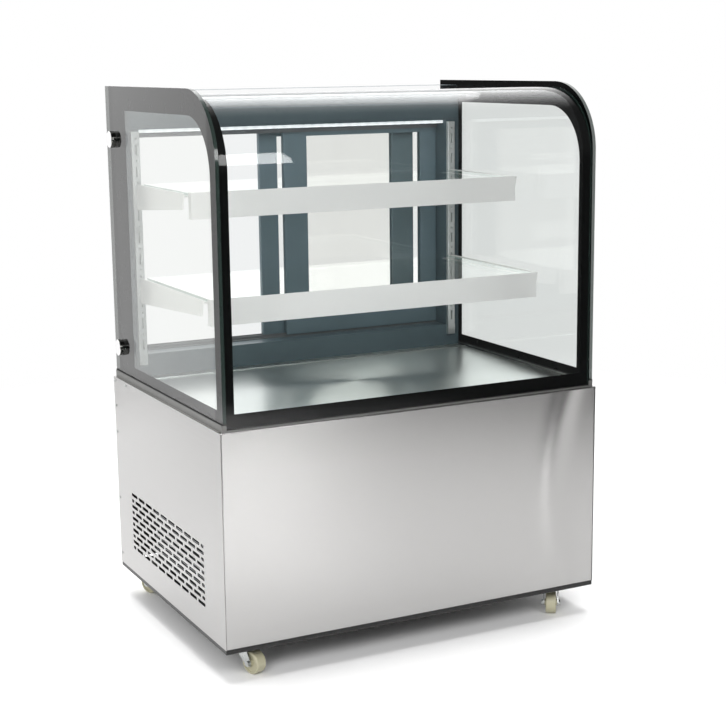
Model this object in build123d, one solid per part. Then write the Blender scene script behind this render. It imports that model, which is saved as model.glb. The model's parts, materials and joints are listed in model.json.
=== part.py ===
from build123d import *
import os

# Curved-glass refrigerated display showcase on four swivel casters.
# Millimetres. +X is the customer's right, +Y is towards the operator, +Z is up.
# The origin is on the floor, under the middle of the cabinet.

# ---- Driving dimensions ----
CABINET_WIDTH = 915.0
CABINET_DEPTH = 675.0
SKIRT_BOTTOM = 67.0
PANEL_BOTTOM = 77.0
PANEL_TOP = 537.0
SIDE_RAIL_TOP = 552.0
GLASS_BOTTOM = 555.0
GLASS_TOP = 1218.0

SHEET = 1.5                # folded steel sheet
GLASS = 8.0                # side glass
FRONT_GLASS = 6.0          # bent front glass
PRINT = 0.4                # enamel print on glass
GLASS_HALF = 449.0         # outer face of a side glass
GLASS_FRONT = -335.0
GLASS_REAR = 337.5
BEND_RADIUS = 150.0        # front top corner of the glass case

FRONT_GLASS_HALF = 440.3
FRONT_GLASS_FACE = -333.0
FRONT_GLASS_BOTTOM = 542.0
FRONT_GLASS_REAR = 243.0
ROOF_TOP = 1206.0

DECK_TOP = 547.0
DECK_FRONT = -290.0
DECK_REAR = 205.0
SILL_FRONT = 245.0
SILL_TOP = 600.0
SILL_REAR = 336.0
SILL_HALF = 440.4
HEADER_BOTTOM = 1120.0
BEAM_WALL = 2.0
POST_INNER = 404.0

DOOR_WIDTH = 425.0
DOOR_BOTTOM = 604.0
DOOR_TOP = 1114.0
DOOR_THICKNESS = 14.0
DOOR_EDGE_CLOSED = 403.5
LEFT_DOOR_Y = 322.0
RIGHT_DOOR_Y = 302.0
LEFT_DOOR_OPEN = 326.5     # how far the left door stands open at rest
JAMB_STILE = 47.0
MEETING_STILE = 62.0
DOOR_TOP_RAIL = 24.0
DOOR_BOTTOM_RAIL = 91.0

SHELF_HALF = 400.0
SHELF_GLASS = 6.0
SHELF_REAR = 233.0
FASCIA_HEIGHT = 57.0
LEDGE_DEPTH = 18.0         # fold of the fascia under the shelf glass
UPPER_SHELF_TOP = 997.0
UPPER_SHELF_FRONT = -78.0
MIDDLE_SHELF_TOP = 781.0
MIDDLE_SHELF_FRONT = -172.0
STANDARD_X = 415.0
STANDARD_WIDTH = 20.0
STANDARD_DEPTH = 9.0

TUB_BOTTOM = 395.0
TUB_FLOOR = 430.0
TUB_RIM = 541.0

WHEEL_RADIUS = 25.0
WHEEL_WIDTH = 24.0
CASTER_TRAIL = 24.0
SWIVEL_X = 386.0
SWIVEL_Y = 274.0
FLOOR_SHEET = 70.0         # underside of the base sheet
# Direction from each swivel axis to its wheel, in degrees about +Z.
CASTER_ANGLES = {
    "front_left": -71.6,
    "front_right": -124.1,
    "rear_left": 118.0,
    "rear_right": 64.0,
}

REAR_FACE = 339.0          # outer face of the rear service panel
CONTROLLER_X = 300.0
CONTROL_Z = 355.0
SWITCHES = {"power_switch": 200.0, "light_switch": 160.0}
BUTTONS = {"set_button": 318.0, "defrost_button": 330.0}
ROCKER_TILT = 8.0
INLET_X = -390.0
INLET_Z = 130.0

HALF_W = CABINET_WIDTH / 2
HALF_D = CABINET_DEPTH / 2


# ---- Helpers ----
def block(x0, x1, y0, y1, z0, z1):
    """Box between two opposite corners."""
    return Pos((x0 + x1) / 2, (y0 + y1) / 2, (z0 + z1) / 2) * Box(x1 - x0, y1 - y0, z1 - z0)


def mirrored(x0, x1, y0, y1, z0, z1):
    """The same box on the left and on the right of the cabinet."""
    return [block(x0, x1, y0, y1, z0, z1), block(-x1, -x0, y0, y1, z0, z1)]


def rod(start, end, radius):
    """Round bar from one point to another."""
    a, b = Vector(*start), Vector(*end)
    length = (b - a).length
    plane = Plane(origin=a, z_dir=b - a)
    return plane * Cylinder(radius, length, align=(Align.CENTER, Align.CENTER, Align.MIN))


def tube_run(points, radius, bend):
    """Round pipe along straight runs joined by tangent arcs."""
    path = FilletPolyline(*points, radius=bend)
    start = Plane(origin=path @ 0, z_dir=path % 0)
    return sweep(start * Circle(radius), path=path)


def joined(pieces):
    """One solid from touching or overlapping pieces."""
    body = pieces[0]
    for piece in pieces[1:]:
        body = body + piece
    return body


def save(name, *pieces):
    """Write one node; several pieces stay separate solids in it."""
    solids = []
    for piece in pieces:
        solids.extend(piece.solids())
    shape = solids[0] if len(solids) == 1 else Compound(children=solids)
    export_step(shape, f"parts/{name}.step")


def slot_x(x, y, z, length, height, depth):
    """Round-ended slot cutter through a wall that faces X; its length is along Y."""
    slot = extrude(SlotOverall(length, height), depth, both=True)
    return Pos(x, y, z) * Rot(0, 90, 0) * Rot(0, 0, 90) * slot


def slot_y(x, y, z, length, height, depth):
    """Round-ended slot cutter through a wall that faces Y; its length is along X."""
    slot = extrude(SlotOverall(length, height), depth, both=True)
    return Pos(x, y, z) * Rot(90, 0, 0) * slot


def staggered(start, end, rows, row_pitch, first_z, gap):
    """Centres, heights and lengths of slots in brick-like rows that fill a rectangle."""
    full = 9
    pitch = (end - start + gap) / (full + 0.5)
    length = pitch - gap
    half = pitch / 2 - gap
    spots = []
    for row in range(rows):
        z = first_z + row * row_pitch
        shift = half + gap if row % 2 else 0.0
        for column in range(full):
            spots.append((start + shift + length / 2 + column * pitch, z, length))
        centre = start + half / 2 if row % 2 else end - half / 2
        spots.append((centre, z, half))
    return spots


def arched(x0, x1, y0, y1, z0, z1, radius):
    """Upright slab with its front top edge rounded, as the glass case is."""
    slab = block(x0, x1, y0, y1, z0, z1)
    edge = slab.edges().filter_by(Axis.X).sort_by(lambda e: e.center().Z - e.center().Y)[-1]
    return fillet(edge, radius)


def arched_layer(half_width, offset, thickness, bottom, rear):
    """Sheet that follows the bent front glass, a given offset inside its outer face."""
    outer = arched(
        -half_width, half_width, FRONT_GLASS_FACE + offset, rear,
        bottom, ROOF_TOP - offset, BEND_RADIUS - offset,
    )
    inner_offset = offset + thickness
    inner = arched(
        -half_width - 1, half_width + 1, FRONT_GLASS_FACE + inner_offset, rear + 1,
        bottom - 1, ROOF_TOP - inner_offset, BEND_RADIUS - inner_offset,
    )
    return outer - inner


# ---- Base cabinet ----
VENT_REAR = 238.0
VENT_FRONT = -226.0
VENT_ROWS = 10
VENT_PITCH = 14.4
VENT_FIRST_Z = 140.0
VENT_SLOT_HEIGHT = 7.6
VENT_GAP = 9.0
SCREW_HEIGHTS = (100.0, 240.0, 403.0, 467.0, 528.0)
SIDE_SCREW_Y = 329.0
REAR_SCREW_X = (-445.0, 0.0, 445.0)
REAR_SCREW_Z = (95.0, 300.0, 520.0)


def base_frame():
    """Black folded base: a floor sheet with a skirt all round."""
    outer_x, outer_y, wall = HALF_W - 1, HALF_D - 1, 3.0
    skirt = block(-outer_x, outer_x, -outer_y, outer_y, SKIRT_BOTTOM, PANEL_BOTTOM)
    skirt -= block(
        -outer_x + wall, outer_x - wall, -outer_y + wall, outer_y - wall,
        SKIRT_BOTTOM - 1, PANEL_BOTTOM + 1,
    )
    groove = block(-outer_x - 1, outer_x + 1, -outer_y - 1, -outer_y + 0.8, 72.6, 74.0)
    floor = block(
        -outer_x + wall, outer_x - wall, -outer_y + wall, outer_y - wall,
        FLOOR_SHEET, FLOOR_SHEET + 2,
    )
    body = skirt - groove + floor
    for row in range(5):
        body -= Pos(240, 60 + 24 * (row - 2), FLOOR_SHEET) * extrude(SlotOverall(120, 8), 6, both=True)
    save("base_frame", body)


def front_panel():
    """Plain front sheet with its four edges folded inwards."""
    x = HALF_W - SHEET - 0.2
    y = -HALF_D
    flange = 14.0
    face = block(-x, x, y, y + SHEET, PANEL_BOTTOM, PANEL_TOP)
    folds = mirrored(x - SHEET, x, y + SHEET, y + SHEET + flange, PANEL_BOTTOM, PANEL_TOP)
    top = block(-x, x, y + SHEET, y + SHEET + flange, PANEL_TOP - SHEET, PANEL_TOP)
    low = block(-x, x, y + SHEET, y + SHEET + flange, PANEL_BOTTOM, PANEL_BOTTOM + SHEET)
    save("front_panel", joined([face, *folds, top, low]))


def side_panel(name, sign):
    """Side sheet with a staggered vent field, a top ledge and a folded rear edge."""
    outer, inner = HALF_W, HALF_W - SHEET
    face = block(inner, outer, -HALF_D, HALF_D, PANEL_BOTTOM, PANEL_TOP)
    for y, z, length in staggered(
        VENT_FRONT, VENT_REAR, VENT_ROWS, VENT_PITCH, VENT_FIRST_Z, VENT_GAP
    ):
        face -= slot_x(outer, y, z, length, VENT_SLOT_HEIGHT, 4)
    ledge = block(inner - 12, inner, -HALF_D + 16, HALF_D - SHEET, PANEL_TOP - SHEET, PANEL_TOP)
    rear = block(inner - 15, inner, HALF_D - SHEET, HALF_D, PANEL_BOTTOM, PANEL_TOP)
    panel = joined([face, ledge, rear])
    if sign < 0:
        panel = mirror(panel, about=Plane.YZ)
    save(name, panel)


def rear_service_panel():
    """Screwed rear sheet with a louvre field and openings for the controls."""
    panel = block(-452, 452, HALF_D, REAR_FACE, 82, 532)
    for row in range(12):
        for column in range(4):
            panel -= slot_y(-300 + column * 105, REAR_FACE, 130 + row * 16, 88, 6, 4)
    panel -= block(
        CONTROLLER_X - 36, CONTROLLER_X + 36, HALF_D - 1, REAR_FACE + 1,
        CONTROL_Z - 15.5, CONTROL_Z + 15.5,
    )
    for x in SWITCHES.values():
        panel -= block(x - 14.5, x + 14.5, HALF_D - 1, REAR_FACE + 1, CONTROL_Z - 14.5, CONTROL_Z + 14.5)
    panel -= block(
        INLET_X - 14.5, INLET_X + 14.5, HALF_D - 1, REAR_FACE + 1, INLET_Z - 12, INLET_Z + 12,
    )
    save("rear_service_panel", panel)


def panel_screws():
    """Pan-head screws of the side and rear panels, and the caster bolts."""
    screws = []
    spots = [(SIDE_SCREW_Y, z) for z in SCREW_HEIGHTS] + [(251.0, 528.0)]
    for side in (-1, 1):
        for y, z in spots:
            screws.append(screw_head((side * HALF_W, y, z), (side, 0, 0), 3.5, 1.8))
    for x in REAR_SCREW_X:
        for z in REAR_SCREW_Z:
            screws.append(screw_head((x, REAR_FACE, z), (0, 1, 0), 3.5, 1.8))
    for sx in (-1, 1):
        for sy in (-1, 1):
            for dx in (-23, 23):
                for dy in (-18, 18):
                    seat = (sx * SWIVEL_X + dx, sy * SWIVEL_Y + dy, CASTER_PLATE_BOTTOM)
                    screws.append(screw_head(seat, (0, 0, -1), 5.0, 3.0))
    save("panel_screws", *screws)


def screw_head(seat, outward, radius, height):
    """Domed head with a cross recess, seated on a face."""
    head = Cylinder(radius, height, align=(Align.CENTER, Align.CENTER, Align.MIN))
    head = fillet(head.edges().sort_by(Axis.Z)[-1], height * 0.6)
    head -= Pos(0, 0, height) * Box(radius, radius * 0.25, height * 0.7)
    head -= Pos(0, 0, height) * Box(radius * 0.25, radius, height * 0.7)
    return Plane(origin=seat, z_dir=outward) * head


# ---- Trim, seals and glass case ----
RAIL_INNER = 440.8
TRIM_HALF = 451.0
CAP_HEIGHTS = (614.0, 1098.0)
CAP_Y = 288.0
CAP_RADIUS = 19.0
STUD_RADIUS = 6.0


def base_top_trim():
    """Ring that carries the glass: tall side rails, a low front rail with an inner lip."""
    pieces = mirrored(RAIL_INNER, TRIM_HALF, -334, GLASS_REAR, PANEL_TOP, SIDE_RAIL_TOP)
    pieces.append(block(-RAIL_INNER, RAIL_INNER, -334, -316, PANEL_TOP, 541))
    pieces.append(block(-RAIL_INNER, RAIL_INNER, -325.5, -316, 541, SIDE_RAIL_TOP))
    pieces.append(block(-RAIL_INNER, RAIL_INNER, 325, GLASS_REAR, PANEL_TOP, 541))
    save("base_top_trim", joined(pieces))


def glass_gasket():
    """Black rubber strips under the two side glasses and under the front glass."""
    strips = mirrored(440.6, 450, GLASS_FRONT, GLASS_REAR, SIDE_RAIL_TOP, GLASS_BOTTOM)
    strips.append(block(-440, 440, -333.5, -326.5, 541, FRONT_GLASS_BOTTOM))
    save("glass_gasket", *strips)


def side_outline(x0, x1):
    """Slab with the outline of a side glass."""
    return arched(x0, x1, GLASS_FRONT, GLASS_REAR, GLASS_BOTTOM, GLASS_TOP, BEND_RADIUS)


def side_glass(name, sign):
    """Flat toughened side glass, drilled for its two clamp studs."""
    inner = GLASS_HALF - GLASS
    glass = side_outline(inner, GLASS_HALF)
    for z in CAP_HEIGHTS:
        glass -= rod((inner - 1, CAP_Y, z), (GLASS_HALF + 1, CAP_Y, z), STUD_RADIUS + 0.5)
    if sign < 0:
        glass = mirror(glass, about=Plane.YZ)
    save(name, glass)


def side_glass_borders():
    """Enamel print on the inner face of each side glass: a frame round the clear window."""
    outer = GLASS_HALF - GLASS
    layer = side_outline(outer - PRINT, outer)
    layer -= arched(outer - 2, outer + 1, -285, 228, 574, 1164, 120)
    for z in CAP_HEIGHTS:
        layer -= rod((outer - 2, CAP_Y, z), (outer + 2, CAP_Y, z), STUD_RADIUS + 0.5)
    save("side_glass_borders", layer, mirror(layer, about=Plane.YZ))


def curved_front_glass():
    """One bent pane: upright front, quarter-round bend and roof."""
    pane = arched_layer(FRONT_GLASS_HALF, 0, FRONT_GLASS, FRONT_GLASS_BOTTOM, FRONT_GLASS_REAR)
    save("curved_front_glass", pane)


def front_glass_border():
    """Enamel print on the inside of the bent pane: both sides, the foot and the rear edge."""
    band, foot_top = 20.0, 571.0
    layer = arched_layer(FRONT_GLASS_HALF, FRONT_GLASS, PRINT, FRONT_GLASS_BOTTOM, FRONT_GLASS_REAR)
    inner = FRONT_GLASS_HALF - band
    window_front = block(-inner, inner, -400, 200, foot_top, 1300)
    window_roof = block(-inner, inner, 199, FRONT_GLASS_REAR - band, foot_top, 1300)
    save("front_glass_border", layer - window_front - window_roof)


def glass_caps():
    """Chromed clamp caps with their studs, two on each side glass."""
    caps = []
    for z in CAP_HEIGHTS:
        disc = Cylinder(CAP_RADIUS, 12, align=(Align.CENTER, Align.CENTER, Align.MIN))
        disc = fillet(disc.edges().sort_by(Axis.Z)[-1], 1.5)
        cap = Plane(origin=(GLASS_HALF, CAP_Y, z), z_dir=(1, 0, 0)) * disc
        cap += rod((SILL_HALF, CAP_Y, z), (GLASS_HALF, CAP_Y, z), STUD_RADIUS)
        caps += [cap, mirror(cap, about=Plane.YZ)]
    save("glass_caps", *caps)


# ---- Display deck and refrigerated well ----
def well_tub():
    """Double-skinned tub under the deck; its rim hangs inside the trim ring."""
    skin = 2.5
    tub = block(-445, 445, -332, 330, TUB_BOTTOM, 535)
    tub += block(-440.5, 440.5, -315.5, 324.5, 535, TUB_RIM)
    tub -= block(-405, 405, -306, 236, TUB_FLOOR, TUB_RIM + 1)
    jacket = block(-445 + skin, 445 - skin, -332 + skin, 330 - skin, TUB_BOTTOM + skin, 535 - skin)
    jacket -= block(-405 - skin, 405 + skin, -306 - skin, 236 + skin, TUB_FLOOR - skin, 536)
    tub -= jacket
    for x, y in PIPE_HOLES:
        tub -= rod((x, y, TUB_BOTTOM - 1), (x, y, TUB_FLOOR + 1), 6)
    save("well_tub", tub)


def deck_tray(x_half, y0, y1):
    """Flat sheet on two down-turned sides, as the deck and its grilles are."""
    tray = block(-x_half, x_half, y0, y1, DECK_TOP - SHEET, DECK_TOP)
    for leg in mirrored(x_half - SHEET, x_half, y0, y1, TUB_RIM, DECK_TOP - SHEET):
        tray += leg
    return tray


def deck_pan():
    """Display deck with a low upturned lip along its rear edge."""
    pan = deck_tray(438, DECK_FRONT, DECK_REAR)
    pan += block(-438, 438, DECK_REAR - SHEET, DECK_REAR, DECK_TOP, DECK_TOP + 2.5)
    save("deck_pan", pan)


def air_grilles():
    """Slotted return grille at the front of the deck and outlet grille at the rear."""
    grilles = []
    for y0, y1, rows in ((-315.3, DECK_FRONT - 0.7, 1), (DECK_REAR + 0.5, 244.5, 2)):
        grille = deck_tray(438, y0, y1)
        for row in range(rows):
            y = y0 + (y1 - y0) * (row + 1) / (rows + 1)
            for column in range(18):
                x = -408 + column * 48
                grille -= Pos(x, y, DECK_TOP) * extrude(SlotOverall(38, 6), 4, both=True)
        grilles.append(grille)
    save("air_grilles", *grilles)


# ---- Rear frame, header and doors ----
def box_beam(low, high):
    """Folded box section across the whole case, open at its two ends."""
    beam = block(-SILL_HALF, SILL_HALF, SILL_FRONT, SILL_REAR, low, high)
    hollow = block(
        -SILL_HALF - 1, SILL_HALF + 1, SILL_FRONT + BEAM_WALL, SILL_REAR - BEAM_WALL,
        low + BEAM_WALL, high - BEAM_WALL,
    )
    return beam - hollow


def rear_sill():
    """Box beam under the doors."""
    save("rear_sill", box_beam(TUB_RIM, SILL_TOP))


def rear_posts():
    """Two rectangular tubes between the sill and the header."""
    posts = []
    for post, hollow in zip(
        mirrored(POST_INNER, SILL_HALF, SILL_FRONT, SILL_REAR, SILL_TOP, HEADER_BOTTOM),
        mirrored(
            POST_INNER + 2, SILL_HALF - 2, SILL_FRONT + 2, SILL_REAR - 2,
            SILL_TOP - 1, HEADER_BOTTOM + 1,
        ),
    ):
        posts.append(post - hollow)
    save("rear_posts", *posts)


def header_box():
    """Rear roof beam with a small light lip along its lower front edge."""
    box = box_beam(HEADER_BOTTOM, ROOF_TOP)
    box += block(-SILL_HALF + 1, SILL_HALF - 1, SILL_FRONT - 3, SILL_FRONT, HEADER_BOTTOM, HEADER_BOTTOM + 3)
    save("header_box", box)


def door_tracks():
    """Double-groove head track under the header and two-rail track on the sill."""
    half = DOOR_EDGE_CLOSED
    head = block(-half, half, 290, 334, HEADER_BOTTOM - 3, HEADER_BOTTOM)
    for y in (291.0, 312.0, 333.0):
        head += block(-half, half, y - 1, y + 1, 1100, HEADER_BOTTOM - 3)
    foot = block(-half, half, 290, 334, SILL_TOP, SILL_TOP + 2)
    for y in (LEFT_DOOR_Y, RIGHT_DOOR_Y):
        foot += block(-half, half, y - 1.5, y + 1.5, SILL_TOP + 2, SILL_TOP + 8)
    save("door_tracks", head, foot)


def sliding_door(name, jamb_x, meeting_x, y):
    """Door frame with a glass unit, a rail groove in its foot and a recessed pull."""
    x0, x1 = min(jamb_x, meeting_x), max(jamb_x, meeting_x)
    half = DOOR_THICKNESS / 2
    inward = 1 if meeting_x > jamb_x else -1
    window_x = sorted((jamb_x + inward * JAMB_STILE, meeting_x - inward * MEETING_STILE))
    window_z = (DOOR_BOTTOM + DOOR_BOTTOM_RAIL, DOOR_TOP - DOOR_TOP_RAIL)
    frame = block(x0, x1, y - half, y + half, DOOR_BOTTOM, DOOR_TOP)
    frame = fillet(frame.edges().filter_by(Axis.Z), 2)
    frame -= block(*window_x, y - half - 1, y + half + 1, *window_z)
    glass = block(window_x[0] - 5, window_x[1] + 5, y - 5, y + 5, window_z[0] - 5, window_z[1] + 5)
    frame -= glass
    frame -= block(x0 - 1, x1 + 1, y - 2.5, y + 2.5, DOOR_BOTTOM - 1, SILL_TOP + 10)
    pull_x = jamb_x + inward * (JAMB_STILE / 2 - 2)
    recess = extrude(SlotOverall(120, 20), 8, both=True)
    pull = Pos(pull_x, y + half, 860) * Rot(90, 0, 0) * Rot(0, 0, 90) * recess
    save(f"{name}_frame", frame - pull)
    save(f"{name}_glass", glass)


# ---- Shelves and lamps ----
def shelf_standards():
    """Two slotted wall strips on the fronts of the rear posts."""
    strips = []
    bottom, top = 576.0, 1116.0
    front = SILL_FRONT - STANDARD_DEPTH
    for side in (-1, 1):
        x = side * STANDARD_X
        strip = block(
            x - STANDARD_WIDTH / 2, x + STANDARD_WIDTH / 2, front, SILL_FRONT, SILL_TOP + 1, top,
        )
        strip = fillet(strip.edges().filter_by(Axis.Z).sort_by(Axis.Y)[:2], 2)
        strip += block(
            x - STANDARD_WIDTH / 2, x + STANDARD_WIDTH / 2, front, SILL_FRONT - 0.5, bottom, SILL_TOP + 1,
        )
        for step in range(10):
            z = 625 + 50 * step
            strip -= block(x - 2.2, x + 2.2, front - 1, SILL_FRONT - 2, z - 12, z + 12)
            strip -= rod((x, front - 1, z + 25), (x, SILL_FRONT - 4, z + 25), 2.4)
        strips.append(strip)
    save("shelf_standards", *strips)


def shelf_brackets():
    """Four tapered cantilever brackets with a flange that carries the shelf glass."""
    brackets = []
    back = SILL_FRONT - STANDARD_DEPTH
    for top, front in ((UPPER_SHELF_TOP, UPPER_SHELF_FRONT), (MIDDLE_SHELF_TOP, MIDDLE_SHELF_FRONT)):
        outline = Polyline(
            (back, top), (back, top - 59), (front + 22, top - 35), (front + 12, top), close=True
        )
        plate = Plane.YZ.offset(STANDARD_X - 1.5) * extrude(make_face(outline), 3)
        under = top - SHELF_GLASS
        flange = block(385, STANDARD_X - 1.5, front + LEDGE_DEPTH + 2, back - 4, under - 3, under)
        bracket = plate + flange
        brackets += [bracket, mirror(bracket, about=Plane.YZ)]
    save("shelf_brackets", *brackets)


def shelf(name, top, front):
    """Glass panel, and its folded front fascia with a ledge that the glass rests on."""
    back = front + SHEET
    under = top - SHELF_GLASS
    glass = block(-SHELF_HALF, SHELF_HALF, back + 0.5, SHELF_REAR, under, top)
    save(f"{name}_glass", glass)
    half = SHELF_HALF + 4
    high, low = top + 2, top + 2 - FASCIA_HEIGHT
    face = block(-half, half, front, back, low, high)
    ledge = block(-half, half, back, front + LEDGE_DEPTH, under - SHEET, under)
    foot = block(-half, half, back, front + 26, low, low + SHEET)
    ends = mirrored(half - SHEET, half, back, front + 16, low, high)
    save(f"{name}_fascia", joined([face, ledge, foot, *ends]))


def led_lamps():
    """LED strips under both shelf ledges and under the header."""
    lamps = []
    for top, front in ((UPPER_SHELF_TOP, UPPER_SHELF_FRONT), (MIDDLE_SHELF_TOP, MIDDLE_SHELF_FRONT)):
        seat = top - SHELF_GLASS - SHEET
        lamps.append(block(-375, 375, front + 3, front + LEDGE_DEPTH - 1, seat - 9, seat))
    header = block(-400, 400, SILL_FRONT + 8, SILL_FRONT + 22, HEADER_BOTTOM - 8, HEADER_BOTTOM)
    lamps.append(fillet(header.edges().filter_by(Axis.X).sort_by(Axis.Z)[:2], 3))
    save("led_lamps", *lamps)


# ---- Refrigeration and electrics ----
PIPE_RADIUS = 4.0
FIN = 2
FIN_PITCH = 8
SUCTION_XY = (20.0, 200.0)
LIQUID_XY = (-80.0, -190.0)
PIPE_HOLES = (SUCTION_XY, LIQUID_XY)
COMPRESSOR_XY = (150.0, 60.0)
COMPRESSOR_RADIUS = 78.0
COIL_X = -410.0
COIL_HALF = 150.0
FAN_Z = 210.0
FAN_OFFSET = 19.0          # middle of the condenser fan, in front of its shroud plate
EVAPORATOR_FANS = {"left_evaporator_fan": -190.0, "right_evaporator_fan": 190.0}
EVAPORATOR_FAN_Y = 118.0
EVAPORATOR_FAN_Z = 486.0


def fan_blades(radius, hub_radius, shaft_radius, blades):
    """Axial fan about +Z: hub with a shaft bore and pitched blades."""
    hub = Pos(0, 0, -12) * Cylinder(hub_radius, 20, align=(Align.CENTER, Align.CENTER, Align.MIN))
    mid = (radius + hub_radius) / 2
    span = radius - hub_radius + 4
    for index in range(blades):
        blade = Pos(mid - 1, 0, -3) * Rot(28, 0, 0) * Box(span, radius * 0.55, 2)
        hub += Rot(0, 0, index * 360 / blades) * blade
    ring = Cylinder(radius, 60) - Pos(0, 0, 9) * Cylinder(shaft_radius + 0.05, 60)
    return hub & ring


def condensing_unit():
    """Coil behind the left vents, shroud, fan and motor."""
    fins = [
        block(COIL_X - 20, COIL_X + 20, -COIL_HALF + 2, COIL_HALF - 2, z, z + FIN)
        for z in range(99, 323, FIN_PITCH)
    ]
    tubes = [
        rod((COIL_X + dx, y, 95), (COIL_X + dx, y, 325), PIPE_RADIUS)
        for dx in (-11, 11)
        for y in range(-125, 126, 50)
    ]
    ends = [
        block(COIL_X - 21, COIL_X + 21, -COIL_HALF, -COIL_HALF + 2, 95, 325),
        block(COIL_X - 21, COIL_X + 21, COIL_HALF - 2, COIL_HALF, 95, 325),
    ]
    feet = block(COIL_X - 21, COIL_X + 21, -COIL_HALF, COIL_HALF, 93, 95)
    legs = [
        block(COIL_X - 21, COIL_X + 21, -COIL_HALF, -COIL_HALF + 20, 72, 93),
        block(COIL_X - 21, COIL_X + 21, COIL_HALF - 20, COIL_HALF, 72, 93),
    ]
    save("condenser_coil", joined([feet, *ends, *legs, *tubes, *fins]))
    plate = block(COIL_X + 21, COIL_X + 23, -COIL_HALF, COIL_HALF, 72, 325)
    plate -= rod((COIL_X, 0, FAN_Z), (COIL_X + 40, 0, FAN_Z), 104)
    save("condenser_fan_shroud", plate)
    place = Plane(origin=(COIL_X + 21, 0, FAN_Z), z_dir=(1, 0, 0))
    save("condenser_fan", place * Pos(0, 0, FAN_OFFSET) * fan_blades(100, 26, 4, 5))
    save("condenser_fan_motor", place * condenser_motor())


def condenser_motor():
    """Condenser motor with its shaft, and three arms that reach the shroud plate."""
    motor = Pos(0, 0, 34) * Cylinder(34, 56, align=(Align.CENTER, Align.CENTER, Align.MIN))
    motor += Cylinder(4, 36, align=(Align.CENTER, Align.CENTER, Align.MIN))
    for index in range(3):
        arm = block(30, 118, -5, 5, 36, 40)
        arm += block(108, 118, -5, 5, 2, 36)
        motor += Rot(0, 0, 90 + index * 120) * arm
    return motor


def compressor():
    """Hermetic compressor: drawn shell with a weld seam, foot plate and grommets."""
    x, y = COMPRESSOR_XY
    shell = Pos(x, y, 82) * Cylinder(COMPRESSOR_RADIUS, 180, align=(Align.CENTER, Align.CENTER, Align.MIN))
    shell = fillet(shell.edges().sort_by(Axis.Z)[-1], 45)
    shell -= Pos(x, y, 160) * Cylinder(62, 130)
    shell += Pos(x, y, 172) * Cylinder(COMPRESSOR_RADIUS + 3, 6)
    shell += block(x - 100, x + 100, y - 70, y + 70, 79, 82)
    for z, dy in STUBS:
        shell += rod((x - COMPRESSOR_RADIUS + 12, y + dy, z), (STUB_END, y + dy, z), PIPE_RADIUS + 1)
    grommets = [
        Pos(x + dx, y + dy, 72) * Cylinder(12, 7, align=(Align.CENTER, Align.CENTER, Align.MIN))
        for dx in (-85, 85)
        for dy in (-55, 55)
    ]
    save("compressor", shell, *grommets)


STUB_END = 60.0
STUBS = ((200.0, -20.0), (150.0, 20.0))


def refrigerant_pipes():
    """Copper circuit: discharge, liquid line with its drier, and suction."""
    y0 = COMPRESSOR_XY[1]
    edge = -COIL_HALF
    discharge = [
        (STUB_END, y0 - 20, 200), (0, y0 - 20, 200), (0, -200, 200), (0, -200, 350),
        (COIL_X, -200, 350), (COIL_X, -200, 300), (COIL_X, edge, 300),
    ]
    liquid_y = LIQUID_XY[1]
    liquid = [(COIL_X, edge, 118), (COIL_X, liquid_y, 118), (-230, liquid_y, 118)]
    capillary = [(-140, liquid_y, 118), (LIQUID_XY[0], liquid_y, 118), (*LIQUID_XY, TUB_FLOOR)]
    suction = [(STUB_END, y0 + 20, 150), (SUCTION_XY[0], y0 + 20, 150), (SUCTION_XY[0], 200, 150),
               (*SUCTION_XY, TUB_FLOOR)]
    drier = Plane(origin=(-230, liquid_y, 118), z_dir=(1, 0, 0)) * Cylinder(
        13, 90, align=(Align.CENTER, Align.CENTER, Align.MIN)
    )
    drier = fillet(drier.edges(), 9)
    pipes = [tube_run(points, PIPE_RADIUS, 15) for points in (discharge, liquid, capillary, suction)]
    save("refrigerant_pipes", *pipes, drier)


def evaporator():
    """Fin block in the well, and the fan plate behind it with two motors."""
    fins = [block(x, x + FIN, -40, 50, 434, 532) for x in range(-320, 321, 2 * FIN_PITCH)]
    ends = [block(-334, -330, -44, 54, TUB_FLOOR, 536), block(330, 334, -44, 54, TUB_FLOOR, 536)]
    tubes = [rod((-330, y, z), (330, y, z), PIPE_RADIUS) for y in (-20, 5, 30) for z in (455, 483, 511)]
    save("evaporator_coil", joined([*ends, *tubes, *fins]))
    plate = block(-404, 404, EVAPORATOR_FAN_Y, EVAPORATOR_FAN_Y + 2, TUB_FLOOR, 541)
    parts = []
    for name, x in EVAPORATOR_FANS.items():
        plate -= rod((x, 100, EVAPORATOR_FAN_Z), (x, 140, EVAPORATOR_FAN_Z), 49)
        place = Plane(origin=(x, EVAPORATOR_FAN_Y, EVAPORATOR_FAN_Z), x_dir=(1, 0, 0), z_dir=(0, 1, 0))
        parts.append(place * small_motor())
        save(name, place * fan_blades(46, 16, 3, 5))
    save("evaporator_fan_motors", plate, *parts)


def small_motor():
    """Evaporator motor with its shaft and two side arms."""
    motor = Pos(0, 0, 12) * Cylinder(24, 36, align=(Align.CENTER, Align.CENTER, Align.MIN))
    motor += Pos(0, 0, -10) * Cylinder(3, 22, align=(Align.CENTER, Align.CENTER, Align.MIN))
    for side in (-1, 1):
        motor += block(*sorted((side * 20, side * 62)), -5, 5, 14, 18)
        motor += block(*sorted((side * 54, side * 62)), -5, 5, 2, 14)
    return motor


def drain_tray():
    """Evaporation tray on the base sheet."""
    tray = block(-330, -40, -320, -215, 72, 100)
    tray -= block(-328, -42, -318, -217, 74, 101)
    save("drain_tray", tray)


def electrical_box():
    """Junction box for the lamp drivers and relays."""
    box = block(310, 420, 40, 250, 72, 150)
    box = fillet(box.edges().filter_by(Axis.Z), 5)
    lid = block(306, 424, 36, 254, 150, 154)
    save("electrical_box", box + lid)


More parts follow.
